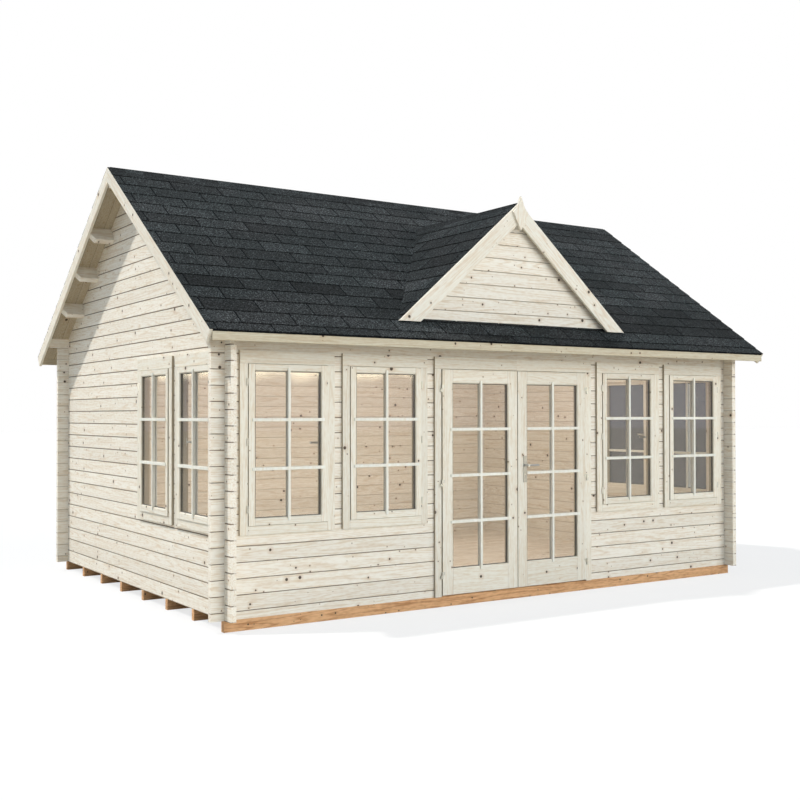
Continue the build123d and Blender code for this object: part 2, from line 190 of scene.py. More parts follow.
# Each member is cut from its own place along this many metres of board
BOARD_REACH = 37.0


def add_knots(s, colour, run, across, scale, rate, radius, spread):
    """Dark knots in light halos, in a share of the cells; gives the colour and the knots."""
    cells = s.add("TexVoronoi", {"Vector": s.vector(run, across, 0.0), "Scale": scale},
                  voronoi_dimensions="2D")
    chance = s.add("SeparateColor", {0: cells.outputs["Color"]}).outputs
    size = s.math("MULTIPLY_ADD", s.math("POWER", chance[1], 2.0), spread, radius)
    close = s.math("DIVIDE", cells.outputs["Distance"], size)
    chosen = s.math("LESS_THAN", chance[0], rate)
    halo = s.math("MULTIPLY", chosen, s.step(close, 3.4, 1.0))
    core = s.math("MULTIPLY", chosen, s.step(close, 1.05, 0.75))
    colour = s.mix(s.math("MULTIPLY", halo, HALO_SHARE), colour, HALO_BROWN)
    return s.mix(s.math("MULTIPLY", core, KNOT_SHARE), colour, KNOT_BROWN), core


def facing(s, axis):
    """1 on faces square to an axis of the piece."""
    normal = s.add("TexCoord", {}).outputs["Normal"]
    part = s.add("SeparateXYZ", {0: normal}).outputs["xyz".index(axis)]
    return s.step(s.math("ABSOLUTE", part), 0.6, 0.85)


def grain_shade(s, run, across, depth, shift):
    """How dark the grain is, from its fibres, growth rings, streaks and flecks; the fibres."""
    fibre = s.noise(s.stretched((run, across, depth), (3.0, 120.0, 120.0)), detail=3.0,
                    roughness=0.6)
    swirl = s.noise(s.vector(s.math("MULTIPLY", run, 0.5), s.math("MULTIPLY", across, 11.0),
                             s.math("ADD", s.math("MULTIPLY", depth, 11.0), shift)), detail=1.0)
    rings = s.math("PINGPONG", s.math("MULTIPLY", swirl, 30.0), 1.0)
    late_wood = s.step(rings, 0.45, 1.0)
    streak = s.noise(s.vector(s.math("MULTIPLY", run, 1.4), s.math("MULTIPLY", across, 30.0),
                              shift), detail=2.0)
    fleck = s.noise(s.stretched((run, across, depth), (20.0, 75.0, 75.0)), detail=1.0)
    shade = s.math("MULTIPLY", fibre, 0.30)
    for part, weight in ((late_wood, 0.22), (streak, 0.38), (fleck, 0.50)):
        shade = s.math("ADD", shade, s.math("MULTIPLY", part, weight))
    return s.step(shade, 0.42, 1.0), fibre


def wood(name, members, pale, figure, knot_rate=0.16, tone_spread=0.09, ends="", edges=""):
    """Planed softwood. members(shader) gives along, across, depth, member number and joints.
    ends names the axis that the ends face, which are made lighter as painted light; edges the
    axis that the side faces face, which get brown painted shade."""
    s = Shader(name)
    along, across, depth, number, joint = members(s)
    luck = s.random(number)
    shift = s.math("MULTIPLY", luck, BOARD_REACH)
    run = s.math("ADD", along, shift)
    shade, fibre = grain_shade(s, run, across, depth, shift)
    colour = s.mix(shade, pale, figure)
    colour, core = add_knots(s, colour, run, across, 8.5, knot_rate, 0.050, 0.085)
    colour, pins = add_knots(s, colour, run, across, 19.0, knot_rate * 0.35, 0.045, 0.060)

    tone = s.math("MULTIPLY_ADD", luck, tone_spread, 1.0 - tone_spread / 2.0)
    # Painted light: faces square to ends, the log ends, made lighter
    if ends:
        painted_end_light = s.math("MULTIPLY_ADD", facing(s, ends), ENDS_PAINTED_LIGHTER, 1.0)
        tone = s.math("MULTIPLY", tone, painted_end_light)
    colour = s.dim(colour, tone)
    # Painted shade: faces square to edges are mixed towards brown
    if edges:
        colour = s.mix(s.math("MULTIPLY", facing(s, edges), SIDE_SHADE_SHARE), colour, SHADED_SIDE_BROWN)
    colour = s.mix(s.math("MULTIPLY", joint, SEAM_SHARE), colour, SEAM_BROWN)
    relief = s.math("SUBTRACT", s.math("MULTIPLY", fibre, 0.3), s.math("MULTIPLY", core, 0.5))
    relief = s.math("SUBTRACT", relief, s.math("MAXIMUM", joint, pins))
    s.set(Base_Color=colour, Roughness=WOOD_ROUGHNESS, Normal=s.bump(relief, 0.35, 0.0012))
    return s.material


# Members: which way the grain runs, and where one member ends and the next begins.
# The first numbers keep the kinds apart, so that their members differ in tone.
FIRST_NUMBER = {"side_logs": 71.0, "face_boards": 140.0, "beams": 200.0, "roof_boards": 300.0,
                "floor": 400.0, "gablet_barges": 510.0, "spear": 520.0, "casings": 600.0,
                "sashes": 650.0, "door_casing": 700.0, "leaves": 720.0}
# How much higher a rail's number is than its stiles'
RAIL_NUMBER = 3.0


def line(s, value, at, half):
    """1 on a thin line where value equals at."""
    return s.step(s.math("ABSOLUTE", s.math("SUBTRACT", value, at)), half, half * 0.4)


def stack(s, value, pitch, first=0.0):
    """Number of the course that a place belongs to."""
    return s.math("FLOOR", s.math("DIVIDE", s.math("SUBTRACT", value, first), pitch))


def boards(s, value, width, joint):
    """Number of the board at a place, and a line just before each board's end."""
    number = stack(s, value, width)
    past = s.math("SUBTRACT", value, s.math("MULTIPLY", number, width))
    return number, line(s, past, width, joint)


def seam(s, value, first, depth, outer, half=SEAM_HALF):
    """Line between two courses: dark outside, where depth is beyond outer, and faint inside."""
    part = s.math("FRACT", s.math("DIVIDE", s.math("SUBTRACT", value, first), COURSE))
    near = s.math("MULTIPLY", s.math("PINGPONG", part, 0.5), COURSE)
    drawn = s.step(near, half, half * 0.45)
    outside = s.math("GREATER_THAN", s.math("ABSOLUTE", depth), outer)
    return s.math("MULTIPLY", drawn, s.math("MULTIPLY_ADD", outside, 0.62, 0.38))


def logs_along_x(s):
    """Front and back walls: their seams lie half a course off the side walls'."""
    x, y, z = s.place()
    first = BEARER_H - COURSE / 2
    joint = seam(s, z, first, y, HALF_Y - LOG_T / 2)
    return x, z, y, stack(s, z, COURSE, first), joint


def logs_along_y(s):
    x, y, z = s.place()
    number = s.math("ADD", stack(s, z, COURSE, BEARER_H), s.math("SIGN", x))
    joint = seam(s, z, BEARER_H, x, HALF_X - LOG_T / 2, SIDE_SEAM_HALF)
    return y, z, x, s.math("ADD", number, FIRST_NUMBER["side_logs"]), joint


def face_boards(s):
    """Gablet face, boarded level, with fainter seams than the logs."""
    x, y, z = s.place()
    number = s.math("ADD", stack(s, z, COURSE, BEARER_H), FIRST_NUMBER["face_boards"])
    joint = s.math("MULTIPLY", seam(s, z, BEARER_H, y, 0.0), 0.7)
    return x, z, y, number, joint


def plain_along_x(s):
    """Beams along X, numbered by where they lie from front to back."""
    x, y, z = s.place()
    number = s.math("ADD", stack(s, y, 0.15), s.math("SIGN", y))
    return x, z, y, s.math("ADD", number, FIRST_NUMBER["beams"]), 0.0


def roof_boards(s):
    """Boards down the slope, side by side along X."""
    x, y, z = s.place()
    number, joint = boards(s, x, ROOF_BOARD_W, BOARD_JOINT)
    number = s.math("ADD", number, FIRST_NUMBER["roof_boards"])
    return s.math("ABSOLUTE", y), x, z, number, joint


def floor_planks(s):
    x, y, z = s.place()
    number, joint = boards(s, y, FLOOR_BOARD_W, BOARD_JOINT)
    return x, y, z, s.math("ADD", number, FIRST_NUMBER["floor"]), joint


def on_slope(s, level, pitch):
    """Distances along and square to a slope that falls from the middle, out along x where
    level is 0 and y where it is 1; the other level coordinate; the side of the middle."""
    x, y, z = s.place()
    out = s.math("ABSOLUTE", (x, y)[level])
    along = s.math("SUBTRACT", s.math("MULTIPLY", out, math.cos(pitch)),
                   s.math("MULTIPLY", z, math.sin(pitch)))
    across = s.math("ADD", s.math("MULTIPLY", out, math.sin(pitch)),
                    s.math("MULTIPLY", z, math.cos(pitch)))
    side = s.math("SIGN", (x, y)[level])
    return along, across, (y, x)[level], side


def barge_members(s):
    along, across, depth, side = on_slope(s, 1, PITCH)
    return along, across, depth, s.math("ADD", side, s.math("SIGN", depth)), 0.0


def gablet_barge_members(s):
    along, across, depth, side = on_slope(s, 0, GABLET_PITCH)
    return along, across, depth, s.math("ADD", side, FIRST_NUMBER["gablet_barges"]), 0.0


def spear_member(s):
    x, y, z = s.place()
    return z, x, y, FIRST_NUMBER["spear"], 0.0


def frame_members(s, level, offset, depth, rail, stile_half, number, head_through=False):
    """Grain of a frame: level in the rails, upright in the stiles, with thin butt joints."""
    z = s.place()[2]
    low = s.math("LESS_THAN", z, rail[0])
    high = s.math("GREATER_THAN", z, rail[1])
    between = s.math("LESS_THAN", offset, stile_half)
    butt = line(s, offset, stile_half, BUTT_JOINT)
    if head_through:
        level_grain = s.math("MAXIMUM", high, s.math("MULTIPLY", low, between))
        over = s.math("MULTIPLY", s.math("GREATER_THAN", offset, stile_half),
                      line(s, z, rail[1], BUTT_JOINT))
        joint = s.math("MAXIMUM", over, s.math("MULTIPLY", low, butt))
    else:
        in_rail = s.math("MAXIMUM", low, high)
        level_grain = s.math("MULTIPLY", in_rail, between)
        joint = s.math("MULTIPLY", in_rail, butt)
    along = s.blend(level_grain, z, level)
    across = s.blend(level_grain, level, z)
    member = s.math("ADD", number, s.math("MULTIPLY", level_grain, RAIL_NUMBER))
    return along, across, depth, member, s.math("MULTIPLY", joint, 0.35)


def fold(s, value, middle, half):
    """Distance from the nearer of two centres that lie half either side of middle."""
    off = s.math("ABSOLUTE", s.math("SUBTRACT", value, middle))
    return s.math("ABSOLUTE", s.math("SUBTRACT", off, half))


def window_place(s, front):
    """Level coordinate, distance from a window's centre line, depth and window number."""
    x, y, z = s.place()
    level, depth = (s.math("ABSOLUTE", x), y) if front else (y, x)
    low, high = sorted(WIN_X[2:] if front else WIN_Y)
    step = high - low
    middle = (low + high) / 2
    number = s.math("ADD", stack(s, level, step, middle - step), s.math("SIGN", x))
    return x if front else y, fold(s, level, middle, step / 2), depth, number


def casing_members(front):
    def members(s):
        level, offset, depth, window = window_place(s, front)
        number = s.math("ADD", window, FIRST_NUMBER["casings"])
        return frame_members(s, level, offset, depth, WIN_REVEAL_Z, WIN_REVEAL_HALF, number,
                             head_through=True)
    return members


def sash_members(front):
    def members(s):
        level, offset, depth, window = window_place(s, front)
        number = s.math("ADD", window, FIRST_NUMBER["sashes"])
        return frame_members(s, level, offset, depth, WIN_GLASS_Z, WIN_GLASS_HALF, number)
    return members


def door_casing_members(s):
    x, y, z = s.place()
    offset = s.math("ABSOLUTE", x)
    number = s.math("ADD", s.math("SIGN", x), FIRST_NUMBER["door_casing"])
    return frame_members(s, x, offset, y, JAMB_Z, JAMB_X, number, head_through=True)


def leaf_members(s):
    x, y, z = s.place()
    offset = s.math("ABSOLUTE", s.math("SUBTRACT", s.math("ABSOLUTE", x), sum(PANE_X) / 2))
    number = s.math("ADD", s.math("SIGN", x), FIRST_NUMBER["leaves"])
    return frame_members(s, x, offset, y, PANE_Z, (PANE_X[1] - PANE_X[0]) / 2, number)


def bar_members(s):
    """Glazing bars, with upright grain that changes every 0.3 m along the walls."""
    x, y, z = s.place()
    level = s.math("ADD", x, y)
    return z, level, y, stack(s, level, 0.3), 0.0


wood_looks = {
    "logs_x": wood("spruce_logs_x", logs_along_x, PALE, FIGURE, ends="x"),
    "logs_y": wood("spruce_logs_y", logs_along_y, PALE, FIGURE, ends="y"),
    "gablet_face": wood("spruce_gablet_face", face_boards, PALE, FIGURE, knot_rate=0.22),
    "beams": wood("spruce_beams", plain_along_x, PALE, FIGURE),
    # Fascias: the wood darkened as painted shade under the eave
    "fascias": wood("spruce_fascias_painted_shade", plain_along_x, (0.62, 0.575, 0.45, 1.0),
                    (0.50, 0.41, 0.28, 1.0)),
    # Roof boards: the wood darkened as painted shade in the soffits
    "roof_boards": wood("spruce_roof_boards_painted_shade", roof_boards, (0.53, 0.47, 0.35, 1.0),
                        (0.43, 0.33, 0.21, 1.0), knot_rate=0.12),
    "floor": wood("spruce_floor", floor_planks, PALE, (0.60, 0.43, 0.28, 1.0)),
    "barge": wood("spruce_barge", barge_members, JOINERY_PALE, FIGURE, knot_rate=0.14),
    "gablet_barge": wood("spruce_gablet_barge", gablet_barge_members, JOINERY_PALE, FIGURE),
    "spear": wood("spruce_spear", spear_member, JOINERY_PALE, FIGURE, knot_rate=0.0),
    "bars": wood("joinery_bars", bar_members, (0.87, 0.88, 0.83, 1.0), (0.79, 0.76, 0.66, 1.0),
                 knot_rate=0.0),
    "bearers": wood("treated_bearers", plain_along_x, (0.83, 0.50, 0.265, 1.0),
                    (0.46, 0.22, 0.09, 1.0), knot_rate=0.35, tone_spread=0.2),
}
# Joinery, with painted shade on the side faces square to the named axis
for name, members, edges in (("casing_front", casing_members(True), "x"),
                             ("casing_side", casing_members(False), "y"),
                             ("sash_front", sash_members(True), "x"),
                             ("sash_side", sash_members(False), "y"),
                             ("door_casing", door_casing_members, "x"),
                             ("leaf", leaf_members, "x")):
    wood_looks[name] = wood("joinery_" + name, members, JOINERY_PALE, JOINERY_FIGURE,
                            knot_rate=0.15, edges=edges)


# Other materials
def shingle_look(name, tone, dark):
    """Slate-grey mineral granules, lighter or darker by tone, and darker where dark is 1:
    painted shadow under each course of tabs, joints between ridge caps.
    """
    s = Shader(name)
    where = s.where()
    granules = s.add("TexVoronoi", {"Vector": where, "Scale": 170.0}).outputs
    spark = s.add("SeparateColor", {0: granules["Color"]}).outputs[0]
    patch = s.noise(where, scale=1.6, detail=2.0)
    blotch = s.noise(where, scale=85.0, detail=1.0)
    light = s.math("MULTIPLY_ADD", s.math("POWER", spark, 3.0), 2.1, 0.40)
    for value, gain, least in ((tone(s), 0.80, 0.42), (patch, 0.6, 0.55),
                               (s.step(blotch, 0.38, 0.66), 1.10, 0.45),
                               (dark(s), -0.60, 1.0)):
        light = s.math("MULTIPLY", light, s.math("MULTIPLY_ADD", value, gain, least))
    tint = s.mix(s.step(patch, 0.35, 0.65), (0.037, 0.044, 0.046, 1.0),
                 (0.041, 0.045, 0.047, 1.0))
    rough = s.math("ADD", granules["Distance"], blotch)
    s.set(Base_Color=s.dim(tint, light), Roughness=0.92, Specular_IOR_Level=0.12,
          Normal=s.bump(rough, 0.5, 0.002))
    return s.material


def tab_tone(s):
    return s.attribute("tone")


def shadow_under_course(s):
    """Painted shadow: 1 just below the course above, where its lower edge casts shade."""
    return s.step(s.attribute("below"), 0.012, 0.002)


def cap_tone(s):
    return s.random(stack(s, s.place()[0], EXPOSURE))


def cap_joint(s):
    """1 on the lines between the ridge caps along X."""
    return boards(s, s.place()[0], EXPOSURE, CAP_JOINT)[1]


def glass_look():
    s = Shader("window_glass")
    waves = s.noise(s.where(), scale=1.6, detail=1.0)
    s.set(Base_Color=(0.20, 0.21, 0.21, 1.0), Roughness=0.02, Alpha=0.17, IOR=2.0,
          Specular_IOR_Level=1.0, Normal=s.bump(waves, 0.04, 0.01))
    return s.material


def metal_look(name, colour, roughness):
    """Brushed level, darker in some of the strokes."""
    s = Shader(name)
    brushed = s.noise(s.stretched(s.place(), (60.0, 60.0, 900.0)), detail=2.0)
    darker = tuple(0.86 * part for part in colour[:3]) + (1.0,)
    s.set(Base_Color=s.mix(brushed, darker, colour), Metallic=1.0,
          Roughness=s.math("MULTIPLY_ADD", brushed, 0.16, roughness))
    return s.material


def speckled_look(name, scale, dark, pale, **values):
    """Two close colours in a fine noise."""
    s = Shader(name)
    s.set(Base_Color=s.mix(s.noise(s.where(), scale=scale), dark, pale), **values)
    return s.material


# Tabs, with painted shadow below each course
shingle_material = shingle_look("bitumen_shingle", tab_tone, shadow_under_course)
cap_material = shingle_look("bitumen_ridge_cap", cap_tone, cap_joint)
# The sheet that shows in the slots between tabs, made near-black as painted shade in the slots
underlay_slot_shade_material = speckled_look("bitumen_underlay", 120.0, (0.004, 0.005, 0.006, 1.0),
                                  (0.009, 0.010, 0.012, 1.0), Roughness=0.95,
                                  Specular_IOR_Level=0.0)
# Glazing gasket, a real part, its dark colour also standing in as painted shade of the window
# reveals
seal_and_reveal_shade_material = speckled_look("glazing_seal", 300.0, (0.115, 0.108, 0.090, 1.0),
                              (0.165, 0.155, 0.130, 1.0), Roughness=0.7)
glass_material = glass_look()
steel_material = metal_look("hinge_steel", (0.72, 0.71, 0.66, 1.0), 0.34)
handle_material = metal_look("handle_metal", (0.68, 0.69, 0.68, 1.0), 0.28)
plate_material = metal_look("plate_metal", (0.46, 0.45, 0.42, 1.0), 0.36)


def paint(look, *names):
    for name in names:
        slots = nodes[name].data.materials
        slots.clear()
        slots.append(look)


paint(wood_looks["logs_x"], "front_wall_left", "front_wall_right", "front_wall_over_door",
      "back_wall")
paint(wood_looks["logs_y"], "left_wall", "right_wall", "left_gable", "right_gable")
paint(wood_looks["beams"], "purlins")
paint(wood_looks["fascias"], "eave_fascias")
paint(wood_looks["bearers"], "bearers")
paint(wood_looks["floor"], "floor_boards")
paint(wood_looks["roof_boards"], "roof_boards_front", "roof_boards_back",
      "gablet_boards_left", "gablet_boards_right")
paint(wood_looks["barge"], *[f"{side}_barge_board_{end}" for side in ("left", "right")
                             for end in ("front", "back")])
paint(wood_looks["gablet_barge"], "gablet_barge_board_left", "gablet_barge_board_right")
paint(wood_looks["gablet_face"], "gablet_face")
paint(wood_looks["spear"], "gablet_finial")
paint(wood_looks["casing_front"], "front_window_frames")
paint(wood_looks["casing_side"], "side_window_frames")
paint(wood_looks["sash_front"], "front_window_sashes")
paint(wood_looks["sash_side"], "side_window_sashes")
paint(wood_looks["door_casing"], "door_frame")
paint(wood_looks["leaf"], "left_door_leaf", "right_door_leaf")
paint(glass_material, "window_glass", "left_door_glass", "right_door_glass")
paint(steel_material, "window_hinges", "door_frame_hinges", "left_door_hinges",
      "right_door_hinges")
paint(handle_material, "door_lever")
paint(plate_material, "lock_plates")
paint(underlay_slot_shade_material, "shingles_front", "shingles_back", "gablet_shingles_left",
      "gablet_shingles_right")
paint(cap_material, "ridge_caps")


# Meshes
def scene_object(name, mesh, material):
    """Put a finished bmesh into the scene."""
    data = bpy.data.meshes.new(name)
    mesh.to_mesh(data)
    mesh.free()
    data.materials.append(material)
    made = bpy.data.objects.new(name, data)
    bpy.context.collection.objects.link(made)
    return made


def piece(name, mesh, body, material):
    """Put a finished bmesh into the scene as one piece of the object."""
    made = scene_object(name, mesh, material)
    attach(made, body)


def add_block(mesh, low, high, bevel=0.0, turn=None):
    """Box between two corners with softened edges, then moved by a matrix."""
    made = bmesh.ops.create_cube(mesh, size=1.0)["verts"]
    size = [b - a for a, b in zip(low, high)]
    middle = [(a + b) / 2 for a, b in zip(low, high)]
    move = Matrix.Translation(middle) @ Matrix.Diagonal(size + [1.0])
    bmesh.ops.transform(mesh, matrix=move, verts=made)
    if bevel:
        edges = {edge for vert in made for edge in vert.link_edges}
        made = bmesh.ops.bevel(mesh, geom=list(edges), offset=bevel, segments=2, profile=0.6,
                               affect="EDGES")["verts"]
    if turn is not None:
        bmesh.ops.transform(mesh, matrix=turn, verts=made)


# Shingle tabs
TAB_W = 0.434
TAB_TOP_LIFT = 0.0006
TAB_LIFT = 0.006
TAB_UNEVEN = 0.0015
SLOT_GAP = 0.011
NARROWEST_TAB = 0.01
BATCH_SHARE = 0.45
TAB_SHARE = 0.55
EAVE_GAP = 0.006
GABLET_OVERRUN = 0.04
GABLET_FOOT_GAP = 0.01


def add_tab(mesh, layers, corner, run, fall, up, width, length, tone):
    """Wedge that starts flush with the sheet and ends with a thick lower edge."""
    tone_layer, below_layer = layers
    outline = []
    for top_lift, foot_lift in ((0.0, 0.0), (TAB_TOP_LIFT, TAB_LIFT)):
        for across, down, lift in ((0.0, 0.0, top_lift), (width, 0.0, top_lift),
                                   (width, length, foot_lift), (0.0, length, foot_lift)):
            vert = mesh.verts.new(corner + run * across + fall * down + up * lift)
            vert[tone_layer] = tone
            vert[below_layer] = down
            outline.append(vert)
    for loop in ((4, 5, 6, 7), (3, 2, 6, 7), (0, 3, 7, 4), (1, 5, 6, 2)):
        mesh.faces.new([outline[i] for i in loop])


def shingle_tabs(origin, run, fall, width, length, first_course, shift):
    """Courses of tabs on one slope; origin is its upper corner, run and fall unit vectors."""
    mesh = bmesh.new()
    layers = [mesh.verts.layers.float.new(name) for name in ("tone", "below")]
    up = run.cross(fall).normalized()
    if up.z < 0:
        up = -up
    down = first_course - EXPOSURE
    course = 0
    while down < length:
        top = max(down, 0.0)
        bottom = min(down + EXPOSURE, length)
        across = (course % 2) * TAB_W / 2 + shift - 2 * TAB_W
        batch = random.random()
        while across < width:
            left = max(across + SLOT_GAP / 2, 0.0)
            right = min(across + TAB_W - SLOT_GAP / 2, width)
            if right - left > NARROWEST_TAB:
                tone = BATCH_SHARE * batch + TAB_SHARE * random.random()
                corner = origin + run * left + fall * top
                add_tab(mesh, layers, corner, run, fall, up, right - left,
                        bottom - top + random.uniform(-TAB_UNEVEN, TAB_UNEVEN), tone)
            across += TAB_W
        down += EXPOSURE
        course += 1
    bmesh.ops.recalc_face_normals(mesh, faces=mesh.faces)
    return mesh


def main_tabs(side, name):
    """Tabs on the front (-1) or back (1) slope, out over the barge boards."""
    run = Vector((1, 0, 0))
    fall = Vector((0, side * math.cos(PITCH), -math.sin(PITCH)))
    origin = Vector((-BARGE_X, 0, RIDGE_TOP))
    length = EAVE_SHINGLES / math.cos(PITCH) - EAVE_GAP
    mesh = shingle_tabs(origin, run, fall, 2 * BARGE_X, length, first_course=0.160, shift=0.277)
    piece(name, mesh, "building", shingle_material)


def keep_above(mesh, point, normal):
    every = mesh.verts[:] + mesh.edges[:] + mesh.faces[:]
    bmesh.ops.bisect_plane(mesh, geom=every, plane_co=point, plane_no=normal, clear_inner=True)


def gablet_tabs(side, name):
    """Tabs on a gablet slope, trimmed where they meet the main roof."""
    run = Vector((0, 1, 0))
    fall = Vector((side * math.cos(GABLET_PITCH), 0, -math.sin(GABLET_PITCH)))
    origin = Vector((0, GABLET_BARGE_Y, GABLET_TOP))
    reach = (GABLET_TOP - GABLET_FOOT) / math.sin(GABLET_PITCH) + GABLET_OVERRUN
    mesh = shingle_tabs(origin, run, fall, -GABLET_BARGE_Y, reach, first_course=0.15, shift=0.1)
    keep_above(mesh, (0, 0, RIDGE_TOP), Vector((0, -math.sin(PITCH), math.cos(PITCH))))
    keep_above(mesh, (0, 0, GABLET_FOOT + GABLET_FOOT_GAP), (0, 0, 1))
    piece(name, mesh, "building", shingle_material)


main_tabs(-1, "front_shingle_tabs")
main_tabs(1, "back_shingle_tabs")
gablet_tabs(-1, "gablet_left_shingle_tabs")
gablet_tabs(1, "gablet_right_shingle_tabs")

# Glazing bars and seals
BAR_W = 0.020
BAR_H = 0.023
BAR_LAP = 0.025
LOCK_LAP = 0.005
BAR_PROUD = 0.009
INNER_BAR_T = 0.012
BAR_BEVEL = 0.0015
LEVEL_BAR_SET = 0.0004
WINDOW_ROWS = 3
DOOR_ROWS = 4
SEAL_W = 0.006
SEAL_T = 0.003


def add_bars(mesh, x, z, rows, turn=None, first_lap=BAR_LAP):
    """Cross bars on both faces of a pane; the outer ones lap onto the frame around it,
    by first_lap at the low end of x. Level bars sit a hair behind the upright one."""
    middle = sum(x) / 2
    heights = [z[0] + (z[1] - z[0]) * n / rows for n in range(1, rows)]
    faces = ((LEAF_Y - BAR_PROUD, LEAF_Y), (LEAF_Y, GLASS_Y[0]),
             (GLASS_Y[1], GLASS_Y[1] + INNER_BAR_T))
    for (y0, y1), lap in zip(faces, (BAR_LAP, 0.0, 0.0)):
        bevel = BAR_BEVEL if lap else 0.0
        add_block(mesh, (middle - BAR_W / 2, y0, z[0] - lap),
                  (middle + BAR_W / 2, y1, z[1] + lap), bevel, turn)
        for height in heights:
            add_block(mesh, (x[0] - min(lap, first_lap), y0 + LEVEL_BAR_SET, height - BAR_H / 2),
                      (x[1] + lap, y1 + LEVEL_BAR_SET, height + BAR_H / 2), bevel, turn)


def add_seal(mesh, x, z, turn=None):
    """Glazing gasket round a pane, outside and inside, dark partly as its own colour and partly
    as painted shade of the reveal.
    """
    for y0, y1 in ((GLASS_Y[0] - SEAL_T, GLASS_Y[0]), (GLASS_Y[1], GLASS_Y[1] + SEAL_T)):
        for low, high in (((x[0], y0, z[0]), (x[1], y1, z[0] + SEAL_W)),
                          ((x[0], y0, z[1] - SEAL_W), (x[1], y1, z[1])),
                          ((x[0], y0, z[0] + SEAL_W), (x[0] + SEAL_W, y1, z[1] - SEAL_W)),
                          ((x[1] - SEAL_W, y0, z[0] + SEAL_W), (x[1], y1, z[1] - SEAL_W))):
            add_block(mesh, low, high, 0.0, turn)


def side_turns():
    """Where a front-wall piece at x = 0 goes to sit in each side-wall window."""
    turns = []
    for side in (-1, 1):
        for y in WIN_Y:
            turns.append(Matrix.Translation((side * HALF_X, y, 0))
                         @ Matrix.Rotation(side * math.pi / 2, 4, "Z")
                         @ Matrix.Translation((0, HALF_Y, 0)))
    return turns


window_turns = [Matrix.Translation((x, 0, 0)) for x in WIN_X] + side_turns()


def window_trim(name, add, slot, material, *extra):
    """One piece with this trim at all eight windows."""
    mesh = bmesh.new()
    for turn in window_turns:
        add(mesh, (-WIN_GLASS_HALF, WIN_GLASS_HALF), WIN_GLASS_Z, *extra, turn)
    piece(name, mesh, "building", material)


window_trim("window_glazing_bars", add_bars, "joinery", wood_looks["bars"], WINDOW_ROWS)
window_trim("window_seals", add_seal, "shingle", seal_and_reveal_shade_material)
# The right leaf's bars stop short of the lock plates
for side, name, first_lap in ((-1, "left", BAR_LAP), (1, "right", LOCK_LAP)):
    mesh = bmesh.new()
    pane_x = tuple(sorted((side * PANE_X[0], side * PANE_X[1])))
    add_bars(mesh, pane_x, PANE_Z, DOOR_ROWS, first_lap=first_lap)
    piece(f"{name}_door_glazing_bars", mesh, f"{name}_door", wood_looks["bars"])
    mesh = bmesh.new()
    add_seal(mesh, pane_x, PANE_Z)
    piece(f"{name}_door_seals", mesh, f"{name}_door", seal_and_reveal_shade_material)


# Handles inside each window, on the stile away from its hinges
HANDLE_X = 0.292
HANDLE_Z = 1.238 + BEARER_H
INNER_Y = LEAF_Y + SASH_T
PLATE_Y = INNER_Y + 0.009
GRIP_Y = (INNER_Y + 0.033, INNER_Y + 0.045)
PLATE_HALF_W = 0.013
PLATE_HALF_H = 0.032
NECK_HALF = 0.008
GRIP_HALF_H = 0.009
GRIP_BACK = 0.011
GRIP_REACH = 0.070


def add_handle(mesh, swing, turn):
    """Base plate, neck and lever; swing is the side that the hinges are on."""
    x = -swing * HANDLE_X
    add_block(mesh, (x - PLATE_HALF_W, INNER_Y, HANDLE_Z - PLATE_HALF_H),
              (x + PLATE_HALF_W, PLATE_Y, HANDLE_Z + PLATE_HALF_H), 0.003, turn)
    add_block(mesh, (x - NECK_HALF, PLATE_Y, HANDLE_Z - NECK_HALF),
              (x + NECK_HALF, GRIP_Y[1], HANDLE_Z + NECK_HALF), 0.002, turn)
    ends = sorted((x - swing * GRIP_BACK, x + swing * GRIP_REACH))
    add_block(mesh, (ends[0], GRIP_Y[0], HANDLE_Z - GRIP_HALF_H),
              (ends[1], GRIP_Y[1], HANDLE_Z + GRIP_HALF_H), 0.004, turn)


mesh = bmesh.new()
for turn, swing in zip(window_turns, (-1, 1, -1, 1, -1, 1, 1, -1)):
    add_handle(mesh, swing, turn)
piece("window_handles", mesh, "building", handle_material)


# Floor, light and camera
FLOOR_HALF = 90.0
FLOOR_BELOW = 0.001
# A view ray that has passed more see-through faces than this has passed two panes
FACES_OF_PANES = 3.0


def floor_look():
    """Pale floor: white where the light falls, keeping a soft shadow; dim through two panes."""
    s = Shader("pale_floor")
    lit = s.add("BsdfDiffuse", {"Color": (0.42, 0.393, 0.345, 1.0)}).outputs[0]
    seen_lit = s.add("BsdfDiffuse", {"Color": (0.80, 0.80, 0.80, 1.0)}).outputs[0]
    glow = s.add("Emission", {"Color": WHITE, "Strength": 1.0}).outputs[0]
    dusk = s.add("Emission", {"Color": (0.105, 0.10, 0.10, 1.0), "Strength": 1.0}).outputs[0]
    path = s.add("LightPath", {}).outputs
    two_panes = s.math("GREATER_THAN", path["Transparent Depth"], FACES_OF_PANES)
    seen = s.pick(two_panes, s.pick(0.75, seen_lit, glow), dusk)
    shown = s.pick(path["Is Camera Ray"], lit, seen)
    s.feed(s.tree.nodes["Material Output"].inputs["Surface"], shown)
    return s.material


def floor():
    mesh = bmesh.new()
    bmesh.ops.create_grid(mesh, x_segments=2, y_segments=2, size=FLOOR_HALF)
    bmesh.ops.translate(mesh, verts=mesh.verts, vec=(0, 0, -FLOOR_BELOW))
    made = scene_object("floor", mesh, floor_look())


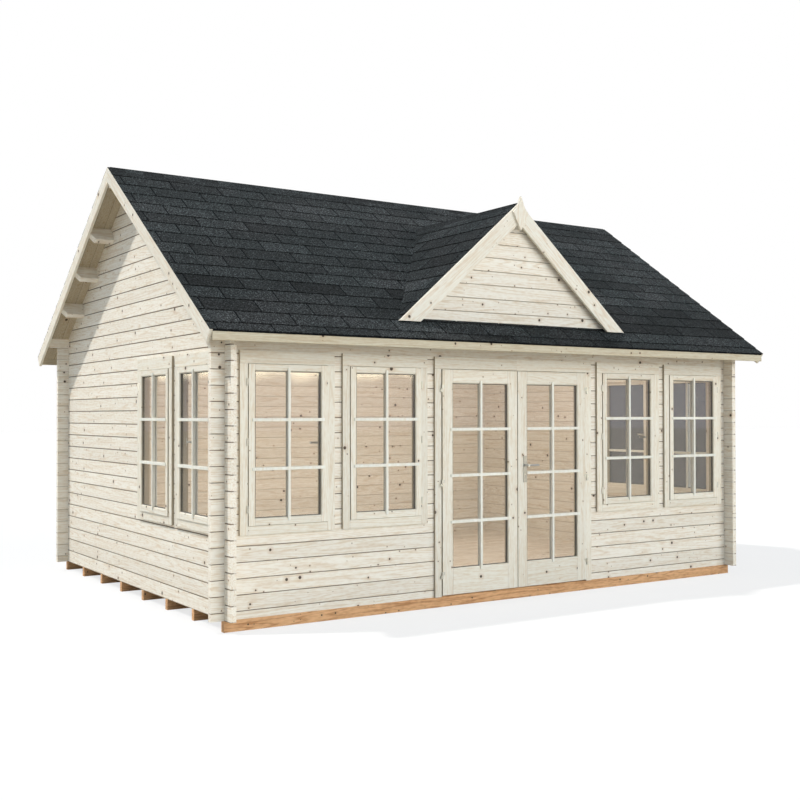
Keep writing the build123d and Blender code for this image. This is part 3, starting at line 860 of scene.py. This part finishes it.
def sky():
    """Plain light from all round. The camera sees white, grey through two panes, and
    mirrored in glass a bright sky above a hazy horizon."""
    world = bpy.data.worlds.new("studio")
    bpy.context.scene.world = world
    world.use_nodes = True
    n = Nodes(world.node_tree)

    def background(colour, strength=1.0):
        return n.add("Background", {"Color": colour, "Strength": strength}).outputs[0]

    path = n.add("LightPath", {}).outputs
    way = n.add("TexCoord", {}).outputs["Generated"]
    height = n.add("SeparateXYZ", {0: way}).outputs[2]
    ragged = n.math("MULTIPLY_ADD", n.noise(way, scale=26.0), -0.022, height)
    haze = background((0.82, 0.76, 0.86, 1.0))
    glow = background((1.0, 0.93, 0.72, 1.0), 8.0)
    upper = background((0.80, 0.88, 1.0, 1.0), 0.8)
    mirrored = n.pick(n.step(ragged, 0.019, 0.030), haze, glow)
    mirrored = n.pick(n.step(height, 0.07, 0.13), mirrored, upper)
    light = background((0.75, 0.90, 1.06, 1.0), 0.52)
    dusk = background((0.120, 0.125, 0.133, 1.0))
    two_panes = n.math("GREATER_THAN", path["Transparent Depth"], FACES_OF_PANES)
    seen = n.pick(two_panes, background(WHITE), dusk)
    others = n.pick(path["Is Glossy Ray"], light, mirrored)
    shown = n.pick(path["Is Camera Ray"], others, seen)
    n.feed(n.tree.nodes["World Output"].inputs["Surface"], shown)


def sun(name, towards, strength, colour, spread, mirrored=True):
    """Distant lamp whose light travels along towards; a wide one isn't mirrored in glass."""
    lamp = bpy.data.lights.new(name, "SUN")
    lamp.energy = strength
    lamp.color = colour
    lamp.angle = math.radians(spread)
    made = bpy.data.objects.new(name, lamp)
    made.rotation_euler = Vector(towards).to_track_quat("-Z", "Y").to_euler()
    made.visible_glossy = mirrored
    bpy.context.collection.objects.link(made)


def room_light():
    """Soft light under the roof, so that the room shows through the panes."""
    lamp = bpy.data.lights.new("room_light", "AREA")
    lamp.shape = "RECTANGLE"
    lamp.size = 4.2
    lamp.size_y = 1.6
    lamp.energy = 62.0
    lamp.color = (1.0, 0.91, 0.81)
    made = bpy.data.objects.new("room_light", lamp)
    made.location = (0.0, -0.6, 2.45)
    made.rotation_euler = (math.radians(28.0), 0.0, 0.0)
    made.visible_camera = False
    made.visible_glossy = False
    bpy.context.collection.objects.link(made)


# The photograph's standpoint, solved from the building's edges
EYE = (-5.7737, -8.9752, 1.4404 + BEARER_H)
YAW = 0.5789
TILT = 0.0141
ROLL = -0.0013
SENSOR_MM = 36.0
LENS_MM = 48.943


def camera():
    ahead = Vector((math.sin(YAW) * math.cos(TILT), math.cos(YAW) * math.cos(TILT),
                    math.sin(TILT)))
    right = Vector((math.cos(YAW), -math.sin(YAW), 0.0))
    up = right.cross(ahead)
    rolled_right = right * math.cos(ROLL) + up * math.sin(ROLL)
    rolled_up = up * math.cos(ROLL) - right * math.sin(ROLL)
    lens = bpy.data.cameras.new("camera")
    lens.sensor_width = SENSOR_MM
    lens.lens = LENS_MM
    lens.clip_end = 300.0
    made = bpy.data.objects.new("camera", lens)
    turn = Matrix((rolled_right, rolled_up, -ahead)).transposed().to_4x4()
    made.matrix_world = Matrix.Translation(EYE) @ turn
    bpy.context.collection.objects.link(made)
    bpy.context.scene.camera = made


floor()
sky()
sun("sun", towards=(1.0, -0.5, -1.85), strength=2.95, colour=(1.0, 0.965, 0.91), spread=2.0)
sun("front_fill", towards=(-0.45, 1.0, -0.30), strength=1.95, colour=(1.0, 0.97, 0.91),
    spread=50.0, mirrored=False)
room_light()
camera()
bpy.context.scene.view_settings.view_transform = "Standard"
